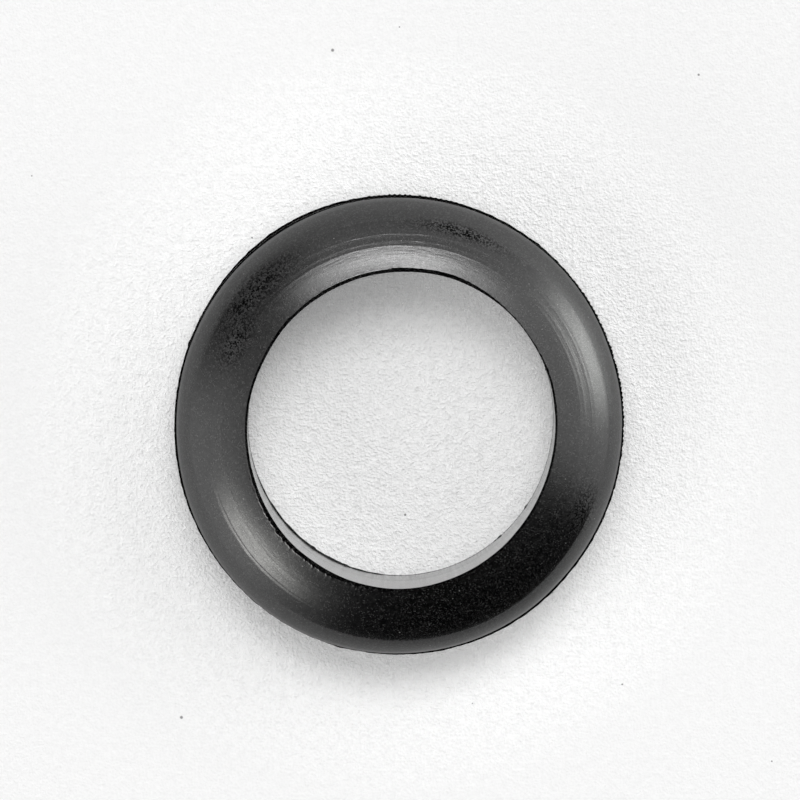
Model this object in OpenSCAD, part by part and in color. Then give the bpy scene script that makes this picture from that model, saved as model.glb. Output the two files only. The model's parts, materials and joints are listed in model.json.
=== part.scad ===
// Double-flange rubber grommet: one moulded ring that snaps into a round
// panel hole and leaves a smooth bore for a cable or a pipe.
// It lies on its lower end; the bore runs along Z. Sizes are millimetres.

/* [Overall] */
// Outer diameter of both flanges
outer_d = 38; // [36:0.5:44]
// Diameter of the bore that the cable passes through
bore_d = 26; // [22:0.5:28]

/* [Panel groove] */
// Diameter of the groove's floor, which fills the panel hole
groove_d = 32; // [31:0.5:34]
// Width of the groove, which takes the panel's thickness
groove_w = 3.2; // [1.6:0.1:4]
// Fillet between the groove's floor and its two side walls
groove_fillet = 0.4; // [0.1:0.05:0.5]

/* [Flanges] */
// Height of each flange, from the groove's side wall to its end face
flange_h = 4.4; // [4:0.05:5]
// Slope of the end face where it leaves the flat land, in degrees
crown_slope = 12; // [8:1:16]
// Slope at which the crown runs into the rounded shoulder, in degrees
shoulder_slope = 30; // [27:1:33]
// Slope at which the shoulder stops at the flange's outer edge, in degrees
edge_slope = 68; // [62:1:74]
// Height of the straight band around each flange beside the groove
edge_band = 0.3; // [0.1:0.05:0.5]

/* [Bore ends] */
// Width of the flat land around each end of the bore
land_w = 0.3; // [0.1:0.05:0.6]
// Rounding between each land and the bore wall
rim_round = 0.25; // [0.1:0.05:0.4]

/* [Smoothness] */
// Steps around the ring
ring_steps = 180; // [60:12:360]
// Turn between two points of the crown and the shoulder, in degrees
face_turn = 3; // [1:0.5:9]
// Turn between two points of the small rounds at the rim and in the groove
round_turn = 15; // [5:5:30]

/* [Hidden] */

height = 2 * flange_h + groove_w;
outer_r = outer_d / 2;
bore_r = bore_d / 2;
groove_r = groove_d / 2;

// Heights above the middle of the groove
wall_z = groove_w / 2;
band_z = wall_z + edge_band;
end_z = wall_z + flange_h;

// The end face is two arcs in one smooth line: a wide crown from the land
// outwards, then a tighter shoulder down to the corner above the band. Their
// radii follow from the three slopes and the space that the arcs span.
land_r = bore_r + rim_round + land_w;
span_w = outer_r - land_r;
span_h = end_z - band_z;
crown_run = sin(shoulder_slope) - sin(crown_slope);
crown_drop = cos(crown_slope) - cos(shoulder_slope);
shoulder_run = sin(edge_slope) - sin(shoulder_slope);
shoulder_drop = cos(shoulder_slope) - cos(edge_slope);
spread = crown_run * shoulder_drop - shoulder_run * crown_drop;
crown_r = (span_w * shoulder_drop - span_h * shoulder_run) / spread;
shoulder_r = (span_h * crown_run - span_w * crown_drop) / spread;

// Points along an arc, after its first point and up to its last
function arc(centre, r, from, to, turn) =
    let (steps = ceil(abs(to - from) / turn))
    [for (i = [1:steps])
        let (a = from + (to - from) * i / steps)
        centre + r * [cos(a), sin(a)]];

// Bore wall to land, over the rounded rim
function rim_points() = concat(
    [[bore_r, end_z - rim_round]],
    arc([bore_r + rim_round, end_z - rim_round], rim_round, 180, 90, round_turn),
    [[land_r, end_z]]);

// Land to the outer edge: crown, shoulder, then the band's far corner
function face_points() = concat(
    arc([land_r - crown_r * sin(crown_slope), end_z - crown_r * cos(crown_slope)],
        crown_r, 90 - crown_slope, 90 - shoulder_slope, face_turn),
    arc([outer_r - shoulder_r * sin(edge_slope), band_z - shoulder_r * cos(edge_slope)],
        shoulder_r, 90 - shoulder_slope, 90 - edge_slope, face_turn),
    [[outer_r, wall_z]]);

// Groove's side wall to its floor, round the fillet
function groove_points() = concat(
    [[groove_r + groove_fillet, wall_z]],
    arc([groove_r + groove_fillet, wall_z - groove_fillet], groove_fillet,
        90, 180, round_turn));

// The upper half's outline, and the lower half as its mirror image
module section() {
    upper = concat(rim_points(), face_points(), groove_points());
    lower = [for (i = [len(upper) - 1:-1:0]) [upper[i][0], -upper[i][1]]];
    polygon(concat(upper, lower));
}

module grommet() {
    color([0.10, 0.10, 0.11])
        translate([0, 0, height / 2])
            rotate_extrude($fn = ring_steps) section();
}

grommet();
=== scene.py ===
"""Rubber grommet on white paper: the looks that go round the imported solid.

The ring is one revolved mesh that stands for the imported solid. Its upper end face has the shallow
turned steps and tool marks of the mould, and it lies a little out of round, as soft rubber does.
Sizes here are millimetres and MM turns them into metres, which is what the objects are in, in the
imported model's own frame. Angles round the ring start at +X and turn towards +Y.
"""
import json
import math

import bpy
from mathutils import Matrix, Vector, noise


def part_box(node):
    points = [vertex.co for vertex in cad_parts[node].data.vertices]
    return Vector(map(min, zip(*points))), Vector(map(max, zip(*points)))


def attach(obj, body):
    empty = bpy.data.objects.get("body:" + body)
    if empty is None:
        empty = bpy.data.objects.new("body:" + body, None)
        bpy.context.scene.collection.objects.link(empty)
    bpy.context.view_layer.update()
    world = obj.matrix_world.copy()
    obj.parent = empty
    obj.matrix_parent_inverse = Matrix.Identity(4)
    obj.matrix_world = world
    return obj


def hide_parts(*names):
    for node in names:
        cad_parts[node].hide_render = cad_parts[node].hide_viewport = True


# A millimetre in metres, and how close two sizes in millimetres are taken as equal
MM = 0.001
TINY = 0.001

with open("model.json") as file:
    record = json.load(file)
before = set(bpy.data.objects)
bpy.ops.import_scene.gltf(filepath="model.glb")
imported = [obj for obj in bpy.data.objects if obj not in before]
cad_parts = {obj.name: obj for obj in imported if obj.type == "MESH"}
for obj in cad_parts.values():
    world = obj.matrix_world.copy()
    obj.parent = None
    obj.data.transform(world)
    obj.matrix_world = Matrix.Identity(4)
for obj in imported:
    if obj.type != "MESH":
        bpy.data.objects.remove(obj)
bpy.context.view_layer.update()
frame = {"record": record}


# ---------------------------------------------------------------- sizes

LOW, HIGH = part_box("grommet")
OUTER_R = (HIGH.x - LOW.x) / 2 / MM
HEIGHT = (HIGH.z - LOW.z) / MM
MOUNTS = {mount["name"]: mount for mount in frame["record"]["mounts"]}
BORE_R = MOUNTS["cable_bore"]["dims"]["r_mm"]

# The groove around the middle. Its level side walls get one more point beyond the fillet.
GROOVE_R = 16.0
GROOVE_W = 3.2
GROOVE_FILLET = 0.4
SIDE_WALL_POINT = 1.6

# The end face: a wide crown, then a tight shoulder that turns down to the band
CROWN_SLOPE = math.radians(12)
SHOULDER_SLOPE = math.radians(30)
EDGE_SLOPE = math.radians(68)
EDGE_BAND = 0.3

# Turned steps of the mould: outer radius of each, and how flat the face is across it
STEPS = ((15.17, 0.3), (16.47, 0.3), (17.6, 0.6))
SHOULDER_R = STEPS[-1][0]
CROWN_STEPS = 2

# Fine ridges and grooves that the turned mould left on the face: radius, width and height
TOOL_MARKS = ((15.22, 0.06, 0.0038), (15.60, 0.07, 0.0070), (16.19, 0.06, 0.0075),
              (16.53, 0.06, 0.0030), (17.05, 0.08, 0.0015), (17.45, 0.07, 0.0015))

# A line scored into the face, and one close to the bore's rim: radius, width and depth
SCORED_LINE = (16.3, 0.05, 0.012)
RIM_LINE = (13.33, 0.05, 0.0065)

# Outer edge: a thin level flash lip where the mould parted, beside the groove. It was trimmed in
# some places, and small teeth stand out of it in others.
FLASH_W = 0.14
FLASH_T = 0.1
FLASH_FROM = OUTER_R - FLASH_W * 0.6
TEETH_ROUND = 280

# Bore ends: a trimmed ledge just below the face, and at the lower end a fin of flash that points
# into the bore. The ledge's raggedness moves the face beside it as far as LEDGE_REACH.
LEDGE_W = 0.2
LEDGE_DROP = 0.05
LEDGE_RELIEF = 0.04
LEDGE_REACH = 1.2
LEDGE_END = BORE_R + LEDGE_W
FIN_W = 0.13
FIN_T = 0.08
FIN_LEAST = 0.15
FIN_MOST = 1.9

# How ragged the ledge is everywhere, how far its inner side waves, and how rough the flash lip is
LEDGE_RAG = 0.015
LEDGE_WAVE = 0.03
FLASH_RAG = 0.05

# Uneven places round the ring, each as its middle and half width in degrees and its size in
# millimetres: what widens or narrows the flash lip, where flash stands out of it, its teeth, what
# widens the ledge, its ragged edge, its beads, and where the edges and the upper rim stand out of
# true. RELIEF and FIN are shares of LEDGE_RELIEF and FIN_W.
LIP = ((240, 35, -0.1), (52, 36, -0.09), (85, 34, -0.09), (101, 24, -0.05), (122, 18, 0.02),
       (150, 25, -0.06), (188, 25, 0.05), (310, 55, 0.08), (350, 24, 0.03), (12, 24, 0.035))
FLASH_OUT = ((52, 1.0, 0.1), (159, 1.0, 0.12), (254.5, 4, 0.05))
TEETH = ((17, 36, 0.1), (88, 18, 0.12))
LEDGE = ((105, 55, 0.2), (68, 18, 0.08), (38, 24, -0.1), (225, 35, 0.09))
RAGGED = ((35, 40, 0.05), (225, 60, 0.05))
BEADS = ((222, 36, 0.12), (249, 26, 0.13))
RELIEF = ((112, 40, 1.6),)
FIN = ((232, 52, 1.0), (236, 1.6, 0.55), (249.5, 1.8, 0.6), (310, 1.2, 0.8), (325, 1.2, 1.0))
EDGE_SWELL = ((122, 36, 0.19), (60, 32, -0.055), (8, 20, 0.04), (220, 24, -0.02),
              (296, 30, 0.045), (318, 12, -0.035), (332, 14, -0.03))
RIM_SWELL = ((262, 32, 0.18), (47, 52, 0.1), (130, 20, 0.05), (170, 20, 0.09), (228, 36, 0.15),
             (285, 30, 0.07), (338, 42, -0.085), (22, 14, 0.035), (74, 14, 0.035),
             (144, 22, 0.035), (192, 22, 0.05))

# Shares round the ring in the same way: how much the crown's steps and the shoulder's step fade,
# how much taller the tool marks get, and where the two scored lines are
STEP_FADE = ((215, 46, 0.85),)
SHOULDER_FADE = ((15, 50, 0.65),)
MARKS_RISE = ((95, 60, 0.45),)
SCORED_AT = ((215, 44, 1.0),)
RIM_LINE_AT = ((208, 36, 1.0),)

# Random raggedness round the ring: the length of one bump along the ring, and its seed
RAG_BUMPS = (0.35, 1.0)
BEAD_BUMPS = (0.22, 4.0)
WAVE_BUMPS = (2.5, 3.0)
RELIEF_BUMPS = (0.9, 7.0)
TEETH_BUMPS = (0.3, 5.0)
FLASH_BUMPS = (0.5, 6.0)
FIN_BUMPS = (0.8, 8.0)
STUB_BUMPS = (0.5, 9.0)

# A shallow witness line around the bore wall: its height above the middle, depth and width; and
# the heights at which the wall is drawn, closer together at that line
WITNESS_Z = -1.2
WITNESS_DEPTH = 0.025
WITNESS_W = 0.5
WALL_HEIGHTS = (-5.0, -2.4, -1.8, -1.5, -1.2, -0.9, -0.6, 0, 3.0, 5.2, 5.75)

# How the soft ring lies out of true, at the four corners of its section: shift in X and Y, then
# the bulge and the angle of its long radius
UPPER_EDGE = (0.0, 0.125, 0.205, math.radians(83))
UPPER_RIM = (0.2, 0.22, 0.19, math.radians(77))
LOWER_RIM = (0.2, 0.0, 0.19, math.radians(77))
LOWER_EDGE = (0.0, 0.045, 0.205, math.radians(83))

# The ring is drawn in finer turns where its edges are ragged: degrees between two sections, in
# general and from the first to the second angle
PLAIN_TURN = 0.8
RAGGED_TURNS = ((0, 56, 0.24), (70, 106, 0.24), (106, 140, 0.5), (191, 262, 0.35), (340, 360, 0.24))

# Room between two points of the section on the upper face and on the underside, from a step's
# edge to the points beside it, and the points across the ledge
FACE_SPACING = 0.25
UNDERSIDE_SPACING = 0.7
STEP_EDGE = 0.04
LEDGE_POINTS = 4
SHARP_EDGE = math.radians(35)


# ---------------------------------------------------------------- the ring's section

def arc(centre, radius, start, end, steps):
    """Points along an arc in the section plane, after its first point and up to its last."""
    points = []
    for i in range(1, steps + 1):
        angle = start + (end - start) * i / steps
        points.append((centre[0] + radius * math.cos(angle), centre[1] + radius * math.sin(angle)))
    return points


def spaced(start, end, spacing):
    """Evenly spaced values from start to end, both included, no further apart than spacing."""
    count = math.ceil((end - start) / spacing)
    return [start + (end - start) * i / count for i in range(count + 1)]


def face_arcs():
    """Centre and radius of the crown and of the shoulder, from the slopes and their room."""
    band_z = GROOVE_W / 2 + EDGE_BAND
    span_w = OUTER_R - LEDGE_END
    span_h = HEIGHT / 2 - band_z
    crown_run = math.sin(SHOULDER_SLOPE) - math.sin(CROWN_SLOPE)
    crown_drop = math.cos(CROWN_SLOPE) - math.cos(SHOULDER_SLOPE)
    shoulder_run = math.sin(EDGE_SLOPE) - math.sin(SHOULDER_SLOPE)
    shoulder_drop = math.cos(SHOULDER_SLOPE) - math.cos(EDGE_SLOPE)
    spread = crown_run * shoulder_drop - shoulder_run * crown_drop
    crown_r = (span_w * shoulder_drop - span_h * shoulder_run) / spread
    shoulder_r = (span_h * crown_run - span_w * crown_drop) / spread
    crown_centre = (LEDGE_END - crown_r * math.sin(CROWN_SLOPE),
                    HEIGHT / 2 - crown_r * math.cos(CROWN_SLOPE))
    shoulder_centre = (OUTER_R - shoulder_r * math.sin(EDGE_SLOPE),
                       band_z - shoulder_r * math.cos(EDGE_SLOPE))
    return crown_centre, crown_r, shoulder_centre, shoulder_r


def face_height(r):
    """Height of the smooth end face above the ring's middle at radius r."""
    crown_centre, crown_r, shoulder_centre, shoulder_r = face_arcs()
    join_r = crown_centre[0] + crown_r * math.sin(SHOULDER_SLOPE)
    centre, radius = (crown_centre, crown_r) if r < join_r else (shoulder_centre, shoulder_r)
    return centre[1] + math.sqrt(max(radius ** 2 - (r - centre[0]) ** 2, 0))


def step_height(r, steps):
    """Height that some of the mould's turned steps add at radius r, where they flatten the face."""
    inner = LEDGE_END
    for outer, flatness in STEPS:
        if inner <= r < outer and (outer, flatness) in steps:
            share = (r - inner) / (outer - inner)
            chord = face_height(inner) + (face_height(outer) - face_height(inner)) * share
            return (chord - face_height(r)) * flatness
        inner = outer
    return 0


def ridge(r, line):
    """Height at radius r of one rounded ridge, given as its radius, width and height."""
    middle, width, height = line
    return height * math.exp(-((r - middle) / width) ** 2)


def upper_face_point(r):
    """Radius and height of a point of the upper face, then the heights that its marks add.

    They are the crown's steps, the shoulder's step, the tool marks and the two scored lines.
    """
    marks = sum(ridge(r, mark) for mark in TOOL_MARKS)
    return (r, face_height(r), step_height(r, STEPS[:CROWN_STEPS]),
            step_height(r, STEPS[CROWN_STEPS:]), marks, -ridge(r, SCORED_LINE), -ridge(r, RIM_LINE))


def upper_face_radii():
    """Radii at which the upper face is drawn: even, and closer at the steps and tool marks."""
    radii = spaced(LEDGE_END, OUTER_R - FLASH_W, FACE_SPACING)
    radii += [r + offset for r, _ in STEPS for offset in (-STEP_EDGE, STEP_EDGE)]
    lines = TOOL_MARKS + (SCORED_LINE, RIM_LINE)
    radii += [middle + width * share for middle, width, _ in lines for share in (-1, 0, 1)]
    return sorted(radii)


def wall_radius(z):
    """Radius of the bore wall at height z above the ring's middle, with its witness line."""
    return BORE_R + WITNESS_DEPTH * math.exp(-((z - WITNESS_Z) / WITNESS_W) ** 2)


def edge_to_groove():
    """The outline from the flash lip at the outer edge to the groove's floor."""
    wall_z = GROOVE_W / 2
    fillet_centre = (GROOVE_R + GROOVE_FILLET, wall_z - GROOVE_FILLET)
    points = [(OUTER_R - FLASH_W, wall_z + FLASH_T)]
    points += [(OUTER_R, wall_z + FLASH_T), (OUTER_R, wall_z), (OUTER_R - FLASH_W, wall_z)]
    points += [(GROOVE_R + SIDE_WALL_POINT, wall_z), (GROOVE_R + GROOVE_FILLET, wall_z)]
    points += arc(fillet_centre, GROOVE_FILLET, math.pi / 2, math.pi, 3)
    return points


def section():
    """The closed outline: the bore wall upwards, the upper half outwards, the lower half back.

    Each point is its radius and its height above the middle. A point of the upper face also has
    the heights that its marks add.
    """
    end_z = HEIGHT / 2
    fin_z = end_z - FIN_T
    ledge = [(BORE_R + LEDGE_W * i / LEDGE_POINTS, end_z - LEDGE_DROP) for i in range(LEDGE_POINTS + 1)]
    under_radii = spaced(LEDGE_END, OUTER_R - FLASH_W, UNDERSIDE_SPACING)
    points = [(BORE_R - FIN_W, -fin_z), (BORE_R, -fin_z)]
    points += [(wall_radius(z), z) for z in WALL_HEIGHTS]
    points += ledge
    points += [upper_face_point(r) for r in upper_face_radii()]
    points += edge_to_groove()
    points += [(GROOVE_R, 0)]
    points += [(r, -z) for r, z in reversed(edge_to_groove())]
    points += [(r, -face_height(r)) for r in reversed(under_radii)]
    points += [(r, -z) for r, z in reversed(ledge[1:])]
    points += [(BORE_R - FIN_W, LEDGE_DROP - end_z)]
    return points


# ---------------------------------------------------------------- unevenness round the ring

def swell(angle, places):
    """Sizes of the uneven places at this angle, each fading smoothly from its middle to its end."""
    total = 0
    for middle, half_width, size in places:
        away = abs((math.degrees(angle) - middle + 180) % 360 - 180) / half_width
        total += size * (0.5 + 0.5 * math.cos(math.pi * min(away, 1)))
    return total


def bumps(angle, r, kind):
    """Smooth random value between -1 and 1 that changes along the ring, in bumps of one kind."""
    size, seed = kind
    reach = r / size
    return noise.noise(Vector((reach * math.cos(angle), reach * math.sin(angle), seed)))


def out_of_true(corner, angle):
    """Shift in X and Y and change of radius at one corner of the section, for this angle."""
    shift_x, shift_y, bulge, long_angle = corner
    return Vector((shift_x, shift_y, bulge * math.cos(2 * (angle - long_angle))))


def corners_at(angle):
    """How far the lower rim and edge and the upper rim and edge stand out of true."""
    corners = [out_of_true(corner, angle) for corner in (LOWER_RIM, LOWER_EDGE, UPPER_RIM, UPPER_EDGE)]
    lower_rim, lower_edge, upper_rim, upper_edge = corners
    lower_edge.z += swell(angle, EDGE_SWELL)
    upper_edge.z += swell(angle, EDGE_SWELL)
    upper_rim.z += swell(angle, RIM_SWELL)
    return corners


def ledge_at(angle):
    """How the ledge's outer side widens and frays, how its inner side waves, and its relief."""
    rag = (LEDGE_RAG + swell(angle, RAGGED)) * bumps(angle, BORE_R, RAG_BUMPS)
    rag += swell(angle, BEADS) * (0.6 + bumps(angle, BORE_R, BEAD_BUMPS))
    wave = LEDGE_WAVE * bumps(angle, BORE_R, WAVE_BUMPS)
    relief = LEDGE_RELIEF * swell(angle, RELIEF) * (0.7 + 0.6 * bumps(angle, BORE_R, RELIEF_BUMPS))
    return swell(angle, LEDGE), rag, wave, relief


def flash_at(angle):
    """How far the flash lip stands out, with its teeth."""
    tooth = 0.5 * math.cos(TEETH_ROUND * angle + 5 * math.sin(3 * angle))
    tooth += 0.7 * bumps(angle, OUTER_R, TEETH_BUMPS)
    flash = swell(angle, TEETH) * tooth + swell(angle, FLASH_OUT)
    return flash + FLASH_RAG * bumps(angle, OUTER_R, FLASH_BUMPS)


def fin_at(angle):
    """How far the fin of flash reaches into the bore, as a share of its width."""
    fin = swell(angle, FIN) * (1 + 0.5 * bumps(angle, BORE_R, FIN_BUMPS))
    stubs = 1.5 * bumps(angle, BORE_R, STUB_BUMPS) - 0.5
    return min(max(fin, stubs, FIN_LEAST), FIN_MOST)


def marks_at(angle):
    """Shares of an upper face point's added heights, in the order of upper_face_point."""
    return (1 - swell(angle, STEP_FADE), 1 - swell(angle, SHOULDER_FADE),
            1 + swell(angle, MARKS_RISE), swell(angle, SCORED_AT), swell(angle, RIM_LINE_AT))


def turns_round():
    """The angles at which the section is drawn, closer together where the edges are ragged."""
    angles = []
    degrees = 0
    while degrees < 360 - PLAIN_TURN / 2:
        angles.append(math.radians(degrees))
        turn = PLAIN_TURN
        for start, end, ragged_turn in RAGGED_TURNS:
            if start <= degrees < end:
                turn = ragged_turn
        degrees += turn
    return angles


# ---------------------------------------------------------------- the ring

def place_round(outline, angle):
    """The outline's points at one angle round the ring, with its raggedness and out of true."""
    lower_rim, lower_edge, upper_rim, upper_edge = corners_at(angle)
    widening, rag, wave, relief = ledge_at(angle)
    flash = flash_at(angle)
    fin = fin_at(angle)
    lip = swell(angle, LIP)
    shares = marks_at(angle)
    placed = []
    for r, z, *added_heights in outline:
        out = (r - BORE_R) / (OUTER_R - BORE_R)
        up = z / HEIGHT + 0.5
        move = lower_rim.lerp(upper_rim, up).lerp(lower_edge.lerp(upper_edge, up), out)
        reach = r + move.z
        if r < BORE_R:
            reach += FIN_W * (1 - fin)
        elif z > HEIGHT / 2 - LEDGE_DROP - TINY and r < LEDGE_END + TINY:
            share = (r - BORE_R) / LEDGE_W
            reach += (rag + widening) * share + wave * (1 - share)
            if r < LEDGE_END - TINY:
                z += relief * math.sin(math.pi * share)
        elif z > 0 and r >= LEDGE_END:
            share = max(0, 1 - (r - LEDGE_END) / LEDGE_REACH)
            reach += rag * share ** 6 + widening * share ** 2
        if r > FLASH_FROM:
            reach += flash
        elif r > SHOULDER_R:
            reach -= lip * ((r - SHOULDER_R) / (OUTER_R - FLASH_W - SHOULDER_R)) ** 2
        z += sum(height * share for height, share in zip(added_heights, shares))
        x = reach * math.cos(angle) + move.x
        y = reach * math.sin(angle) + move.y
        placed.append((x * MM, y * MM, (z + HEIGHT / 2) * MM))
    return placed


def make_ring():
    """The ring's mesh: the section at each angle, joined to the next one by a row of faces."""
    outline = section()
    angles = turns_round()
    vertices = []
    for angle in angles:
        vertices += place_round(outline, angle)
    count = len(outline)
    faces = []
    for step in range(len(angles)):
        here = step * count
        there = (step + 1) % len(angles) * count
        for i in range(count):
            j = (i + 1) % count
            faces.append((here + i, there + i, there + j, here + j))
    mesh = bpy.data.meshes.new("grommet_ring")
    mesh.from_pydata(vertices, [], faces)
    mesh.validate()
    mesh.shade_smooth()
    mesh.set_sharp_from_angle(angle=SHARP_EDGE)
    print("ring:", count, "points round its section,", len(mesh.polygons) * 2, "triangles")
    ring = bpy.data.objects.new("grommet_ring", mesh)
    bpy.context.scene.collection.objects.link(ring)
    return ring


# ---------------------------------------------------------------- node helpers

def fill(tree, made, inputs):
    """Links the sockets and sets the plain values given for a node's inputs."""
    for socket, value in inputs.items():
        if isinstance(value, bpy.types.NodeSocket):
            tree.links.new(value, made.inputs[socket])
        else:
            made.inputs[socket].default_value = value
    return made


def node(tree, kind, inputs=None, **settings):
    """Adds a shader node, sets it, and links or fills the inputs named."""
    made = tree.nodes.new("ShaderNode" + kind)
    for name, value in settings.items():
        setattr(made, name, value)
    return fill(tree, made, inputs or {})


def use_group(tree, group, inputs):
    """Places a node group and links or fills its inputs."""
    return fill(tree, node(tree, "Group", node_tree=group), inputs)


def new_group(name, inputs, outputs):
    """An empty node group with named sockets; gives the group, its input and output nodes."""
    group = bpy.data.node_groups.new(name, "ShaderNodeTree")
    for socket, kind in inputs:
        group.interface.new_socket(socket, in_out="INPUT", socket_type="NodeSocket" + kind)
    for socket, kind in outputs:
        group.interface.new_socket(socket, in_out="OUTPUT", socket_type="NodeSocket" + kind)
    return group, group.nodes.new("NodeGroupInput"), group.nodes.new("NodeGroupOutput")


def new_material(name):
    """A material with nodes; gives it, its tree and its shader."""
    material = bpy.data.materials.new(name)
    material.use_nodes = True
    tree = material.node_tree
    return material, tree, tree.nodes["Principled BSDF"]


def maths(tree, operation, *values):
    """A Math node on numbers or sockets; gives its output."""
    return node(tree, "Math", dict(enumerate(values)), operation=operation).outputs[0]


def carried(tree, value, from_low, from_high, to_low, to_high, **settings):
    """A value carried from one range into another, and held at its ends."""
    return node(tree, "MapRange", {"Value": value, "From Min": from_low, "From Max": from_high,
                                   "To Min": to_low, "To Max": to_high}, **settings).outputs[0]


def eased(tree, value, from_low, from_high, to_low, to_high):
    """The same, with soft ends."""
    return carried(tree, value, from_low, from_high, to_low, to_high,
                   interpolation_type="SMOOTHSTEP")


def blended(tree, share, first, second):
    """From the first value to the second as the share goes from 0 to 1."""
    return node(tree, "Mix", {0: share, 2: first, 3: second}).outputs[0]


def scaled(tree, vector, factor):
    """A vector times a number."""
    return node(tree, "VectorMath", {0: vector, "Scale": factor}, operation="SCALE").outputs[0]


def added(tree, first, second):
    """Two vectors added up."""
    return node(tree, "VectorMath", {0: first, 1: second}, operation="ADD").outputs[0]


def place_on_piece(tree):
    """The place on the piece, in millimetres from its origin."""
    return scaled(tree, node(tree, "TexCoord").outputs["Object"], 1 / MM)


def either(tree, first, second):
    """The larger of two values."""
    return maths(tree, "MAXIMUM", first, second)


def bumped(tree, height):
    """The normal of a surface with this height on it, in millimetres."""
    return node(tree, "Bump", {"Strength": 1.0, "Distance": MM, "Height": height}).outputs[0]


def cell_shades(tree, place, scale):
    """Random cells that fill space, with three random values for each cell."""
    cells = node(tree, "TexVoronoi", {"Vector": place, "Scale": scale, "Randomness": 1.0})
    return node(tree, "SeparateColor", {0: cells.outputs["Color"]}).outputs


# ---------------------------------------------------------------- effects of both materials

def fine_grain_group():
    """A coarse and a fine soft noise, mixed; Grain is about 0.5 on average."""
    group, given, result = new_group(
        "fine_grain",
        [("Position", "Vector"), ("Coarse Scale", "Float"), ("Fine Scale", "Float"),
         ("Fine Share", "Float")],
        [("Grain", "Float")])
    coarse = node(group, "TexNoise", {"Vector": given.outputs["Position"],
                                      "Scale": given.outputs["Coarse Scale"], "Detail": 2.0}).outputs[0]
    fine = node(group, "TexNoise", {"Vector": given.outputs["Position"],
                                    "Scale": given.outputs["Fine Scale"], "Detail": 3.0}).outputs[0]
    mixed = blended(group, given.outputs["Fine Share"], coarse, fine)
    group.links.new(mixed, result.inputs["Grain"])
    return group


def specks_group(name, dimensions):
    """Small round specks, scattered in space or over a flat sheet; Mask is 1 inside a speck."""
    group, given, result = new_group(
        name,
        [("Position", "Vector"), ("Scale", "Float"), ("Size", "Float"), ("Share", "Float")],
        [("Mask", "Float"), ("Shade", "Float")])
    cells = node(group, "TexVoronoi", {"Vector": given.outputs["Position"],
                                       "Scale": given.outputs["Scale"], "Randomness": 1.0},
                 voronoi_dimensions=dimensions)
    parts = node(group, "SeparateColor", {0: cells.outputs["Color"]})
    chosen = maths(group, "LESS_THAN", parts.outputs[0], given.outputs["Share"])
    reach = maths(group, "MULTIPLY", given.outputs["Size"],
                  maths(group, "ADD", parts.outputs[1], 0.35))
    inside = carried(group, cells.outputs["Distance"], reach, maths(group, "MULTIPLY", reach, 0.5),
                     0.0, 1.0)
    group.links.new(maths(group, "MULTIPLY", chosen, inside), result.inputs["Mask"])
    group.links.new(parts.outputs[2], result.inputs["Shade"])
    return group


# ---------------------------------------------------------------- the rubber

RUBBER_COLOUR = (0.0005, 0.0005, 0.0006, 1)
RUBBER_IOR = 1.6
RUBBER_GRAIN = {"Coarse Scale": 2.2, "Fine Scale": 8.0, "Fine Share": 0.6}

# Pale dust: a few large grains and many small motes, each with how much it shows, and a bloom in
# the palest cells of the skin's mottle
DUST_COLOUR = (0.8, 0.8, 0.78, 1)
DUST_GRAINS = {"Scale": 1.6, "Size": 0.1, "Share": 0.3}
DUST_GRAINS_SHOW = 0.22
DUST_MOTES = {"Scale": 4.5, "Size": 0.16, "Share": 0.25}
DUST_MOTES_SHOW = 0.035
BLOOM = 0.041
BLOOM_FALL = 6.0

# The moulded skin: cells per millimetre of its mottle and of its pits, how its sheen varies from
# cell to cell, which depths a pit has, and what they leave of the sheen
MOTTLE_SCALE = 12.0
PIT_SCALE = 8.0
SHEEN = (0.44, 0.56)
PIT_DEPTHS = (0.35, 0.65)
PIT_SHEEN = (1.6, 0.02)

# Places where the skin is pitted and duller: middle angle and radius, then half the size both
# ways, and between which shares of that size it fades
DULL_PATCHES = ((137, 16.8, 25, 1.7), (150, 15.6, 15, 1.6), (73, 17.4, 20, 0.8),
                (298, 15.4, 57, 3.2), (335, 16.6, 13, 1.6))
PATCH_FADE = (0.1, 1.0)

# Roughness of the skin over the span of its grain, what the outer edge adds, and that of the
# bore's wall
GRAIN_SPAN = (0.3, 0.7)
ROUGHNESS = (0.16, 0.26)
EDGE_ROUGHNESS = 0.14
WALL_ROUGHNESS = 0.15

# The outer edge's own finish: the radii where it begins and is full, and its added sheen. Then a
# painted highlight: how much that sheen grows towards +Y and falls towards -Y, brightening the edge's
# reflections on the +Y side
EDGE_FROM, EDGE_FULL = 17.3, 18.1
EDGE_SHEEN = 0.12
EDGE_PAINTED_HIGHLIGHT_BACK = 0.26

# Painted shade: level facets of the upper flange and of the lips at the outer edge get no sheen, so
# they show black: how level such a facet is, and how far in from the outer edge a lip can lie
LEVEL_FACING = 0.985
LIP_W = 0.6

# The bore's wall: how upright it is, and a radius outside it
UPRIGHT_FACING = 0.25
WALL_OUTSIDE_R = 14.5

# Relief of the skin in millimetres: its grain, and the fine marks turned into the mould, which are
# strong close to one radius and weaker away from it
GRAIN_DEPTH = 0.0055
TURNED_DEPTH = 0.01
TURNED_SCALE = 7.0
TURNED_LENGTH = 1.6
TURNED_R = 16.0
TURNED_FULL, TURNED_END = 1.1, 1.8
TURNED_LEAST = 0.25


def rubber_dust(tree, speck_group, place, mottle):
    """How much pale dust lies on the skin: grains, motes and bloom."""
    layers = []
    for kind, show in ((DUST_GRAINS, DUST_GRAINS_SHOW), (DUST_MOTES, DUST_MOTES_SHOW)):
        specks = use_group(tree, speck_group, {"Position": place, **kind}).outputs
        shade = maths(tree, "MULTIPLY", specks["Shade"], show)
        layers.append(maths(tree, "MULTIPLY", specks["Mask"], shade))
    bloom = maths(tree, "MULTIPLY", maths(tree, "POWER", mottle, BLOOM_FALL), BLOOM)
    return maths(tree, "ADD", either(tree, *layers), bloom)


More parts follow.
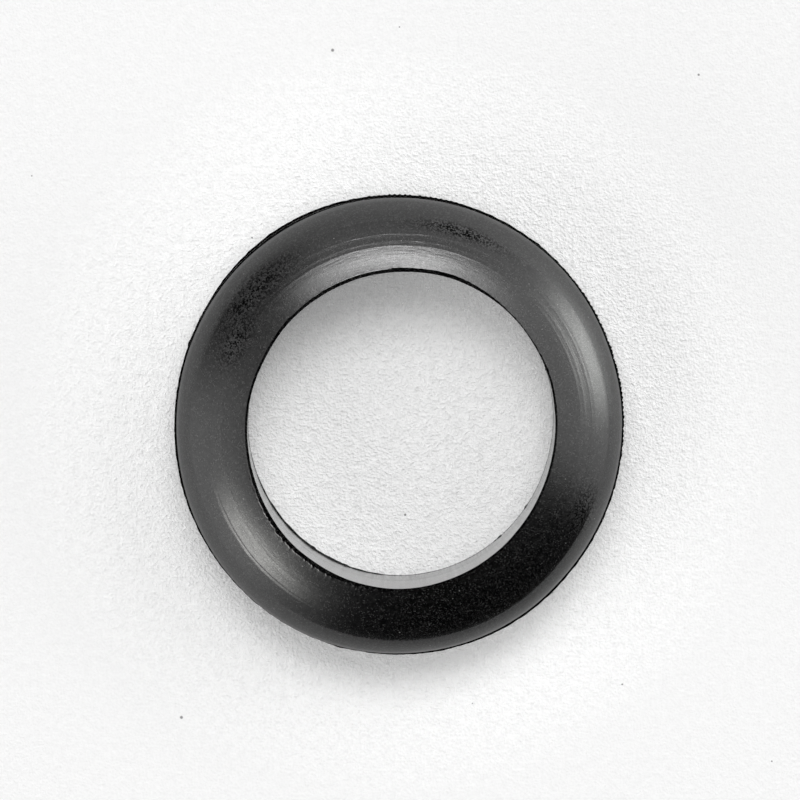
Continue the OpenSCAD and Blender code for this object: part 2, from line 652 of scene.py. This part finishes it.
def dull_patch(tree, turn, radius, patch):
    """Share of one dull patch: 1 in its middle, fading to 0 at its ends."""
    middle, middle_r, half, half_r = patch
    away = maths(tree, "WRAP", maths(tree, "SUBTRACT", turn, middle), 180.0, -180.0)
    across = maths(tree, "DIVIDE", away, half)
    out = maths(tree, "DIVIDE", maths(tree, "SUBTRACT", radius, middle_r), half_r)
    reach = maths(tree, "SQRT", maths(tree, "ADD", maths(tree, "POWER", across, 2.0),
                                      maths(tree, "POWER", out, 2.0)))
    return eased(tree, reach, *PATCH_FADE, 1.0, 0.0)


def pitted_share(tree, turn, radius, upper):
    """Where the upper face is pitted."""
    degrees = maths(tree, "DEGREES", turn)
    pitted = None
    for patch in DULL_PATCHES:
        share = dull_patch(tree, degrees, radius, patch)
        pitted = share if pitted is None else either(tree, pitted, share)
    return maths(tree, "MULTIPLY", pitted, upper)


def rubber_sheen(tree, place, mottle, pitted, edge, back, painted_shade_level):
    """The skin's sheen: mottled, darker in the pits, stronger at the outer edge with a painted highlight
    towards +Y, and taken off level facets as painted shade.
    """
    plain = carried(tree, mottle, 0.0, 1.0, *SHEEN)
    depth = cell_shades(tree, place, PIT_SCALE)[1]
    pits = maths(tree, "MULTIPLY", plain, carried(tree, depth, *PIT_DEPTHS, *PIT_SHEEN))
    sheen = blended(tree, pitted, plain, pits)
    # Painted highlight: the edge's added sheen grows towards +Y and falls towards -Y.
    gain = maths(tree, "ADD", maths(tree, "MULTIPLY", back, EDGE_PAINTED_HIGHLIGHT_BACK), EDGE_SHEEN)
    sheen = maths(tree, "MULTIPLY", sheen, maths(tree, "ADD", 1.0, maths(tree, "MULTIPLY", edge, gain)))
    # Painted shade: no sheen on level facets.
    return maths(tree, "MULTIPLY", sheen, maths(tree, "SUBTRACT", 1.0, painted_shade_level))


def rubber_roughness(tree, grain, edge, radius, facing):
    """The skin's roughness, with the outer edge rougher and the bore's wall smoother."""
    rough = carried(tree, grain, *GRAIN_SPAN, *ROUGHNESS)
    rough = maths(tree, "ADD", rough, maths(tree, "MULTIPLY", edge, EDGE_ROUGHNESS))
    upright = maths(tree, "LESS_THAN", maths(tree, "ABSOLUTE", facing), UPRIGHT_FACING)
    wall = maths(tree, "MULTIPLY", upright, maths(tree, "LESS_THAN", radius, WALL_OUTSIDE_R))
    return blended(tree, wall, rough, WALL_ROUGHNESS)


def rubber_relief(tree, grain, radius, turn):
    """Height of the skin's grain and of the fine marks turned into the mould."""
    along = maths(tree, "MULTIPLY", turn, TURNED_LENGTH)
    turned_place = node(tree, "CombineXYZ", {"X": radius, "Y": along}).outputs[0]
    turned = node(tree, "TexNoise", {"Vector": turned_place, "Scale": TURNED_SCALE, "Detail": 3.0})
    away = maths(tree, "ABSOLUTE", maths(tree, "SUBTRACT", radius, TURNED_R))
    zone = eased(tree, away, TURNED_FULL, TURNED_END, 1.0, TURNED_LEAST)
    marks = maths(tree, "MULTIPLY", turned.outputs[0], zone)
    return maths(tree, "ADD", maths(tree, "MULTIPLY", grain, GRAIN_DEPTH),
                 maths(tree, "MULTIPLY", marks, TURNED_DEPTH))


def moulded_rubber(grain_group, speck_group):
    """Black semi-gloss rubber: fine grain, turned tool marks, pits and a little pale dust."""
    material, tree, shader = new_material("moulded_rubber")
    shader.inputs["IOR"].default_value = RUBBER_IOR
    place = place_on_piece(tree)
    axes = node(tree, "SeparateXYZ", {0: place}).outputs
    radius = maths(tree, "SQRT", maths(tree, "ADD", maths(tree, "POWER", axes["X"], 2.0),
                                       maths(tree, "POWER", axes["Y"], 2.0)))
    turn = maths(tree, "ARCTAN2", axes["Y"], axes["X"])
    # Share of the way towards +Y, which shapes the edge's painted highlight.
    back = maths(tree, "DIVIDE", axes["Y"], radius)
    edge = eased(tree, radius, EDGE_FROM, EDGE_FULL, 0.0, 1.0)
    upper = maths(tree, "GREATER_THAN", axes["Z"], (HEIGHT + GROOVE_W + FLASH_T) / 2)
    lip = maths(tree, "GREATER_THAN", radius, OUTER_R - LIP_W)
    facing = node(tree, "SeparateXYZ", {0: node(tree, "NewGeometry").outputs["True Normal"]}).outputs["Z"]
    # Painted shade: level facets up top and at the outer lips lose all sheen and show black.
    painted_shade_level = maths(tree, "MULTIPLY", maths(tree, "GREATER_THAN", facing, LEVEL_FACING),
                  either(tree, upper, lip))
    mottle = cell_shades(tree, place, MOTTLE_SCALE)[0]
    grain = use_group(tree, grain_group, {"Position": place, **RUBBER_GRAIN}).outputs["Grain"]

    colour = node(tree, "Mix", {0: rubber_dust(tree, speck_group, place, mottle),
                                6: RUBBER_COLOUR, 7: DUST_COLOUR}, data_type="RGBA").outputs[2]
    pitted = pitted_share(tree, turn, radius, upper)
    sheen = rubber_sheen(tree, place, mottle, pitted, edge, back, painted_shade_level)
    rough = rubber_roughness(tree, grain, edge, radius, facing)
    normal = bumped(tree, rubber_relief(tree, grain, radius, turn))
    tree.links.new(colour, shader.inputs["Base Color"])
    tree.links.new(sheen, shader.inputs["Specular IOR Level"])
    tree.links.new(rough, shader.inputs["Roughness"])
    tree.links.new(normal, shader.inputs["Normal"])
    return material


# ---------------------------------------------------------------- the paper

PAPER_ROUGHNESS = 0.5
PAPER_IOR = 1.45
PAPER_GRAIN = {"Coarse Scale": 1.5, "Fine Scale": 4.5, "Fine Share": 0.6}
PAPER_GLOW = 0.12

# The sheet's tooth: how much it shades the white, and its depth. It is full around the ring and
# lower further out, and so is the painted light below: the distances from the origin between which
# they fall, and their least share.
TOOTH_SHADE = 0.75
TOOTH_DEPTH = 0.46
TOOTH_AND_PAINTED_LIGHT_FULL, TOOTH_AND_PAINTED_LIGHT_END = 20.0, 32.0
TOOTH_AND_PAINTED_LIGHT_LEAST = 0.25

# How white the sheet is, and painted light: white added around the ring in step with the tooth's
# share, a painted lighter pool that offsets the shade of the ring and of the tooth's relief there
PAPER_WHITE = 0.715
PAINTED_LIGHT_NEAR_RING = 0.245

# A few small dark flecks in the sheet, and how dark they are
FLECKS = {"Scale": 0.16, "Size": 0.02, "Share": 0.14}
FLECK_SHADE = 0.85


def white_paper(grain_group, speck_group):
    """White drawing paper with a fine tooth, a few flecks, and painted light that whitens it around the
    ring.
    """
    material, tree, shader = new_material("white_paper")
    shader.inputs["Roughness"].default_value = PAPER_ROUGHNESS
    shader.inputs["IOR"].default_value = PAPER_IOR
    shader.inputs["Emission Color"].default_value = (1, 1, 1, 1)
    path = node(tree, "LightPath").outputs
    seen = either(tree, path["Is Camera Ray"], path["Is Glossy Ray"])
    place = place_on_piece(tree)
    grain = use_group(tree, grain_group, {"Position": place, **PAPER_GRAIN}).outputs["Grain"]
    away = node(tree, "VectorMath", {0: place}, operation="LENGTH").outputs["Value"]
    tooth_and_painted_light_share = carried(tree, away, TOOTH_AND_PAINTED_LIGHT_FULL, TOOTH_AND_PAINTED_LIGHT_END, 1.0, TOOTH_AND_PAINTED_LIGHT_LEAST)
    tooth = maths(tree, "MULTIPLY", maths(tree, "SUBTRACT", grain, 0.5), tooth_and_painted_light_share)
    # Painted light: the sheet is whiter around the ring, where the ring's shade falls.
    white = maths(tree, "ADD", PAPER_WHITE, maths(tree, "MULTIPLY", tooth_and_painted_light_share, PAINTED_LIGHT_NEAR_RING))
    white = maths(tree, "ADD", white, maths(tree, "MULTIPLY", tooth, TOOTH_SHADE))
    flecks = use_group(tree, speck_group, {"Position": place, **FLECKS}).outputs["Mask"]
    clean = maths(tree, "SUBTRACT", 1.0, maths(tree, "MULTIPLY", flecks, FLECK_SHADE))
    white = maths(tree, "MULTIPLY", white, clean)
    colour = node(tree, "CombineColor", {0: white, 1: white, 2: white}).outputs[0]
    normal = bumped(tree, maths(tree, "MULTIPLY", tooth, TOOTH_DEPTH))
    glow = maths(tree, "MULTIPLY", seen, PAPER_GLOW)
    tree.links.new(glow, shader.inputs["Emission Strength"])
    tree.links.new(colour, shader.inputs["Base Color"])
    tree.links.new(normal, shader.inputs["Normal"])
    return material


# ---------------------------------------------------------------- studio

# Each light: azimuth and height of its centre, half width, half height, soft edge across and
# up, all in degrees, then its strength and its tint. The key light falls on everything, the paper
# lights on what is matt, and the cards show in what is glossy.
NEUTRAL = (1, 1, 1)
KEY_LIGHT = (91.5, 66, 31.5, 10, 20, 4, 9.0, NEUTRAL)
PAPER_LIGHTS = {
    "ceiling": (0, 90, 400, 6, 1, 5, 15.4, NEUTRAL),
    "high_back": (90, 74, 25, 8, 12, 5, 3.9, NEUTRAL),
    "right": (45, 40, 25, 14, 12, 5, 2.0, NEUTRAL),
    "low_right": (0, 18, 25, 8, 12, 5, 2.4, NEUTRAL),
    "left": (202, 46, 45, 8, 12, 5, 1.6, NEUTRAL),
    "low_left": (212, 19, 32, 8, 12, 5, 2.4, NEUTRAL),
}
CARDS = {
    "back_window": (86, 62, 17, 9, 9, 5, 2.4, NEUTRAL),
    "right_window": (16.5, 18, 14.5, 17, 12, 15, 5.7, (0.99, 1.01, 0.98)),
    "right_wall": (14, 35, 40, 45, 18, 15, 1.25, NEUTRAL),
    "left_strip": (223, 37.5, 13, 10, 9, 7, 6.0, (1.01, 1.01, 0.97)),
    "left_wall": (203, 22, 33, 42, 16, 26, 1.22, NEUTRAL),
    "back_wall": (88, 42, 36, 30, 14, 16, 0.72, NEUTRAL),
    "room": (100, 20, 160, 70, 20, 20, 0.35, NEUTRAL),
}

# Dark places among the cards, and how dark they are
DARK_SIDE = (293, 40, 41, 43, 5, 5)
DARK_ABOVE = (0, 90, 400, 17, 1, 5)
DARKNESS = 0.98
BACKDROP_COLOUR = (0.9, 0.9, 0.9, 1)


def soft_box_group():
    """How much of a soft box a direction meets: 1 inside it, fading to 0 over its soft edges."""
    inputs = [("Direction", "Vector")]
    inputs += [(name, "Float") for name in ("Azimuth", "Elevation", "Half Width", "Half Height",
                                            "Side Edge", "Top Edge")]
    group, given, result = new_group("soft_box", inputs, [("Cover", "Float")])
    turn = maths(group, "RADIANS", maths(group, "MULTIPLY", given.outputs["Azimuth"], -1.0))
    turned = node(group, "VectorRotate", {"Vector": given.outputs["Direction"], "Angle": turn},
                  rotation_type="Z_AXIS").outputs[0]
    axes = node(group, "SeparateXYZ", {0: turned}).outputs
    across = maths(group, "DEGREES", maths(group, "ARCTAN2", axes["Y"], axes["X"]))
    height = maths(group, "DEGREES", maths(group, "ARCSINE", axes["Z"]))
    up = maths(group, "SUBTRACT", height, given.outputs["Elevation"])
    covers = []
    for offset, half, edge in ((across, "Half Width", "Side Edge"), (up, "Half Height", "Top Edge")):
        fade_from = maths(group, "SUBTRACT", given.outputs[half], given.outputs[edge])
        fade_to = maths(group, "ADD", given.outputs[half], given.outputs[edge])
        covers.append(eased(group, maths(group, "ABSOLUTE", offset), fade_from, fade_to, 1.0, 0.0))
    group.links.new(maths(group, "MULTIPLY", *covers), result.inputs["Cover"])
    return group


def cover_of(tree, group, direction, box):
    """How much of one soft box each direction meets."""
    azimuth, elevation, width, height, side, top = box[:6]
    return use_group(tree, group, {
        "Direction": direction, "Azimuth": azimuth, "Elevation": elevation,
        "Half Width": width, "Half Height": height, "Side Edge": side, "Top Edge": top}).outputs["Cover"]


def light_from(tree, group, direction, box):
    """The light of one soft box, in its own tint."""
    strength, tint = box[6:]
    return scaled(tree, [strength * part for part in tint], cover_of(tree, group, direction, box))


def all_lights(tree, group, direction, boxes):
    """The light of several soft boxes added up."""
    total = None
    for box in boxes.values():
        light = light_from(tree, group, direction, box)
        total = light if total is None else added(tree, total, light)
    return total


def light_the_studio():
    """The world: soft boxes all round, and a plain backdrop where the camera looks past the floor."""
    world = bpy.data.worlds.new("studio")
    bpy.context.scene.world = world
    world.use_nodes = True
    tree = world.node_tree
    tree.nodes.clear()
    soft_box = soft_box_group()
    direction = node(tree, "TexCoord").outputs["Generated"]
    path = node(tree, "LightPath").outputs
    cards = all_lights(tree, soft_box, direction, CARDS)
    dark = either(tree, cover_of(tree, soft_box, direction, DARK_SIDE),
                  cover_of(tree, soft_box, direction, DARK_ABOVE))
    cards = scaled(tree, cards, maths(tree, "SUBTRACT", 1.0, maths(tree, "MULTIPLY", dark, DARKNESS)))
    for_paper = all_lights(tree, soft_box, direction, PAPER_LIGHTS)
    chosen = node(tree, "Mix", {0: path["Is Glossy Ray"], 4: for_paper, 5: cards},
                  data_type="VECTOR").outputs[1]
    key = light_from(tree, soft_box, direction, KEY_LIGHT)
    studio = node(tree, "Background", {"Color": added(tree, key, chosen), "Strength": 1.0})
    backdrop = node(tree, "Background", {"Color": BACKDROP_COLOUR, "Strength": 1.0})
    mixed = node(tree, "MixShader", {0: path["Is Camera Ray"], 1: studio.outputs[0],
                                     2: backdrop.outputs[0]})
    node(tree, "OutputWorld", {"Surface": mixed.outputs[0]})


# ---------------------------------------------------------------- floor and camera

# In metres, but for the angles and for the lens and its sensor in millimetres: the floor's side, how
# far and which way the camera leans from upright, how far it stands off, and what it looks at
FLOOR_SIZE = 3.0
LEAN = math.radians(5)
LEAN_TOWARDS = math.radians(6)
CAMERA_DISTANCE = 1.5
LENS = 806
SENSOR_WIDTH = 36
AIM = Vector((0.0001, 0.00216, 0.006))


def make_floor(material):
    """A flat sheet of paper that the ring lies on."""
    half = FLOOR_SIZE / 2
    mesh = bpy.data.meshes.new("paper_floor")
    mesh.from_pydata([(-half, -half, 0), (half, -half, 0), (half, half, 0), (-half, half, 0)], [],
                     [(0, 1, 2, 3)])
    floor = bpy.data.objects.new("paper_floor", mesh)
    bpy.context.scene.collection.objects.link(floor)
    floor.data.materials.append(material)


def make_camera():
    """A long lens above the ring, leaning a little towards +Y."""
    data = bpy.data.cameras.new("camera")
    data.lens = LENS
    data.sensor_width = SENSOR_WIDTH
    camera = bpy.data.objects.new("camera", data)
    bpy.context.scene.collection.objects.link(camera)
    turn = Matrix.Rotation(LEAN_TOWARDS, 4, "Z")
    lean = turn @ Matrix.Rotation(-LEAN, 4, "X") @ turn.inverted()
    camera.matrix_world = Matrix.Translation(AIM) @ lean @ Matrix.Translation((0, 0, CAMERA_DISTANCE))
    bpy.context.scene.camera = camera


# ---------------------------------------------------------------- the scene

bpy.context.scene.view_settings.view_transform = "Standard"
grain_group = fine_grain_group()
make_camera()
make_floor(white_paper(grain_group, specks_group("flat_specks", "2D")))
light_the_studio()

ring = make_ring()
ring.data.materials.append(moulded_rubber(grain_group, specks_group("specks", "3D")))
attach(ring, "root")
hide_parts("grommet")
